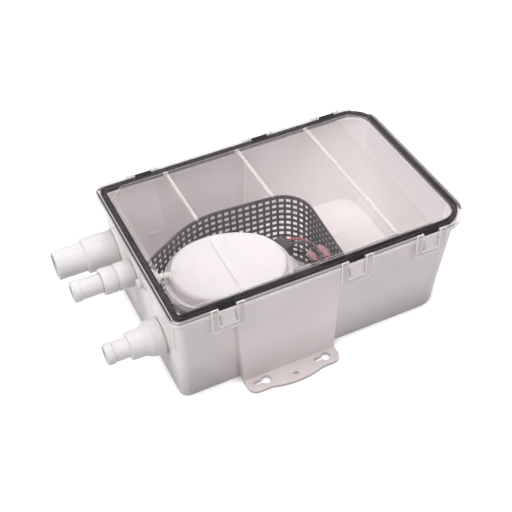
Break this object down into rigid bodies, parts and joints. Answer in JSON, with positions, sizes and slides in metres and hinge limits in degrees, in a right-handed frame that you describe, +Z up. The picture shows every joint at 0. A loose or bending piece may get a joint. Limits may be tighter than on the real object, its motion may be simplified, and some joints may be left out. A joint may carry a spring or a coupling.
{
  "type": "shower sump pump",
  "caption": "Low tank with a clear clip-down lid, an oval submersible pump, a curved mesh filter screen and hose tails on one end.",
  "frame": {"origin": "on the plane the tank stands on, under the middle of the lid's gasket", "axes": "+X along the tank away from the hose tails, +Y towards the back, +Z up"},
  "size_m": [0.3565, 0.2416, 0.1135],
  "materials": {
    "tank_plastic": "satin",
    "clear_plastic": "polished",
    "clip_plastic": "smooth",
    "gasket_rubber": "matt",
    "screen_plastic": "satin",
    "pump_plastic": "smooth",
    "fitting_plastic": "smooth",
    "impeller_plastic": "smooth",
    "float_plastic": "smooth",
    "switch_plastic": "smooth",
    "steel": "brushed",
    "bronze": "sintered",
    "black_rubber": "matt",
    "grey_rubber": "matt",
    "clear_sleeve": "polished",
    "red_insulation": "smooth",
    "brown_insulation": "smooth",
    "black_insulation": "smooth",
    "cable_sheath": "smooth"
  },
  "bodies": {
    "base": {"back_inlet_adapter": "fitting_plastic", "back_inlet_nut": "fitting_plastic", "back_inlet_seal": "black_rubber", "black_wire": "black_insulation", "brown_wire": "brown_insulation", "cable_gland": "fitting_plastic", "cable_gland_nut": "fitting_plastic", "discharge_hose": "black_rubber", "float_switch": "switch_plastic", "hose_clamps": "steel", "lead_strain_relief": "grey_rubber", "middle_inlet_body": "fitting_plastic", "middle_inlet_collar": "fitting_plastic", "middle_inlet_seal": "black_rubber", "middle_inlet_tail": "fitting_plastic", "motor_bearings": "bronze", "motor_can": "steel", "motor_end_bell": "steel", "outlet_nut": "fitting_plastic", "outlet_seal": "black_rubber", "outlet_tail": "fitting_plastic", "outlet_valve_body": "fitting_plastic", "pump_cable": "cable_sheath", "pump_cover": "pump_plastic", "pump_housing": "pump_plastic", "pump_strainer": "pump_plastic", "red_wire": "red_insulation", "shaft_seal": "black_rubber", "splice_sleeves": "clear_sleeve", "strainer_screws": "steel", "sump_box": "tank_plastic"},
    "lid_body": {"lid": "clear_plastic", "lid_gasket": "gasket_rubber"},
    "screen": {"filter_screen": "screen_plastic"},
    "rotor": {"impeller": "impeller_plastic", "motor_armature": "steel"},
    "float_body": {"pump_float": "float_plastic"},
    "outlet_valve_flap": {"outlet_flap": "black_rubber"},
    "middle_valve_flap": {"middle_inlet_flap": "black_rubber"},
    "front_left_clip": {"front_clip_left": "clip_plastic"},
    "front_middle_clip": {"front_clip_middle": "clip_plastic"},
    "front_right_clip": {"front_clip_right": "clip_plastic"},
    "back_left_clip": {"back_clip_left": "clip_plastic"},
    "back_middle_clip": {"back_clip_middle": "clip_plastic"},
    "back_right_clip": {"back_clip_right": "clip_plastic"}
  },
  "joints": [
    {"name": "lid_lift", "type": "slide", "parent": "base", "child": "lid_body", "axis": [0, 0, 1], "range_m": [0, 0.24]},
    {"name": "screen_lift", "type": "slide", "parent": "base", "child": "screen", "axis": [0, 0, 1], "range_m": [0, 0.09]},
    {"name": "front_left_clip_swing", "type": "hinge", "parent": "lid_body", "child": "front_left_clip", "pos_m": [-0.0992, -0.1024, 0.1109], "axis": [-1, 0, 0], "range_deg": [0, 15], "stiffness_Nm_per_rad": 0.05},
    {"name": "front_middle_clip_swing", "type": "hinge", "parent": "lid_body", "child": "front_middle_clip", "pos_m": [0.0264, -0.1024, 0.1109], "axis": [-1, 0, 0], "range_deg": [0, 15], "stiffness_Nm_per_rad": 0.05},
    {"name": "front_right_clip_swing", "type": "hinge", "parent": "lid_body", "child": "front_right_clip", "pos_m": [0.1035, -0.1024, 0.1109], "axis": [-1, 0, 0], "range_deg": [0, 15], "stiffness_Nm_per_rad": 0.05},
    {"name": "back_left_clip_swing", "type": "hinge", "parent": "lid_body", "child": "back_left_clip", "pos_m": [-0.0992, 0.1024, 0.1109], "axis": [1, 0, 0], "range_deg": [0, 15], "stiffness_Nm_per_rad": 0.05},
    {"name": "back_middle_clip_swing", "type": "hinge", "parent": "lid_body", "child": "back_middle_clip", "pos_m": [0.0264, 0.1024, 0.1109], "axis": [1, 0, 0], "range_deg": [0, 15], "stiffness_Nm_per_rad": 0.05},
    {"name": "back_right_clip_swing", "type": "hinge", "parent": "lid_body", "child": "back_right_clip", "pos_m": [0.1035, 0.1024, 0.1109], "axis": [1, 0, 0], "range_deg": [0, 15], "stiffness_Nm_per_rad": 0.05},
    {"name": "impeller_spin", "type": "hinge", "parent": "base", "child": "rotor", "pos_m": [-0.08546, -0.0214, 0.03], "axis": [0, 0, 1], "continuous": true},
    {"name": "float_rise", "type": "slide", "parent": "base", "child": "float_body", "axis": [0, 0, 1], "range_m": [0, 0.012]},
    {"name": "outlet_flap_swing", "type": "hinge", "parent": "base", "child": "outlet_valve_flap", "pos_m": [-0.1517, -0.052, 0.0599], "axis": [0, 1, 0], "range_deg": [0, 50]},
    {"name": "middle_flap_swing", "type": "hinge", "parent": "base", "child": "middle_valve_flap", "pos_m": [-0.1591, 0.013, 0.0819], "axis": [0, -1, 0], "range_deg": [0, 40]}
  ],
  "couplings": [
    {"joint": "screen_lift", "follows": "lid_lift", "ratio": 0.375}
  ]
}
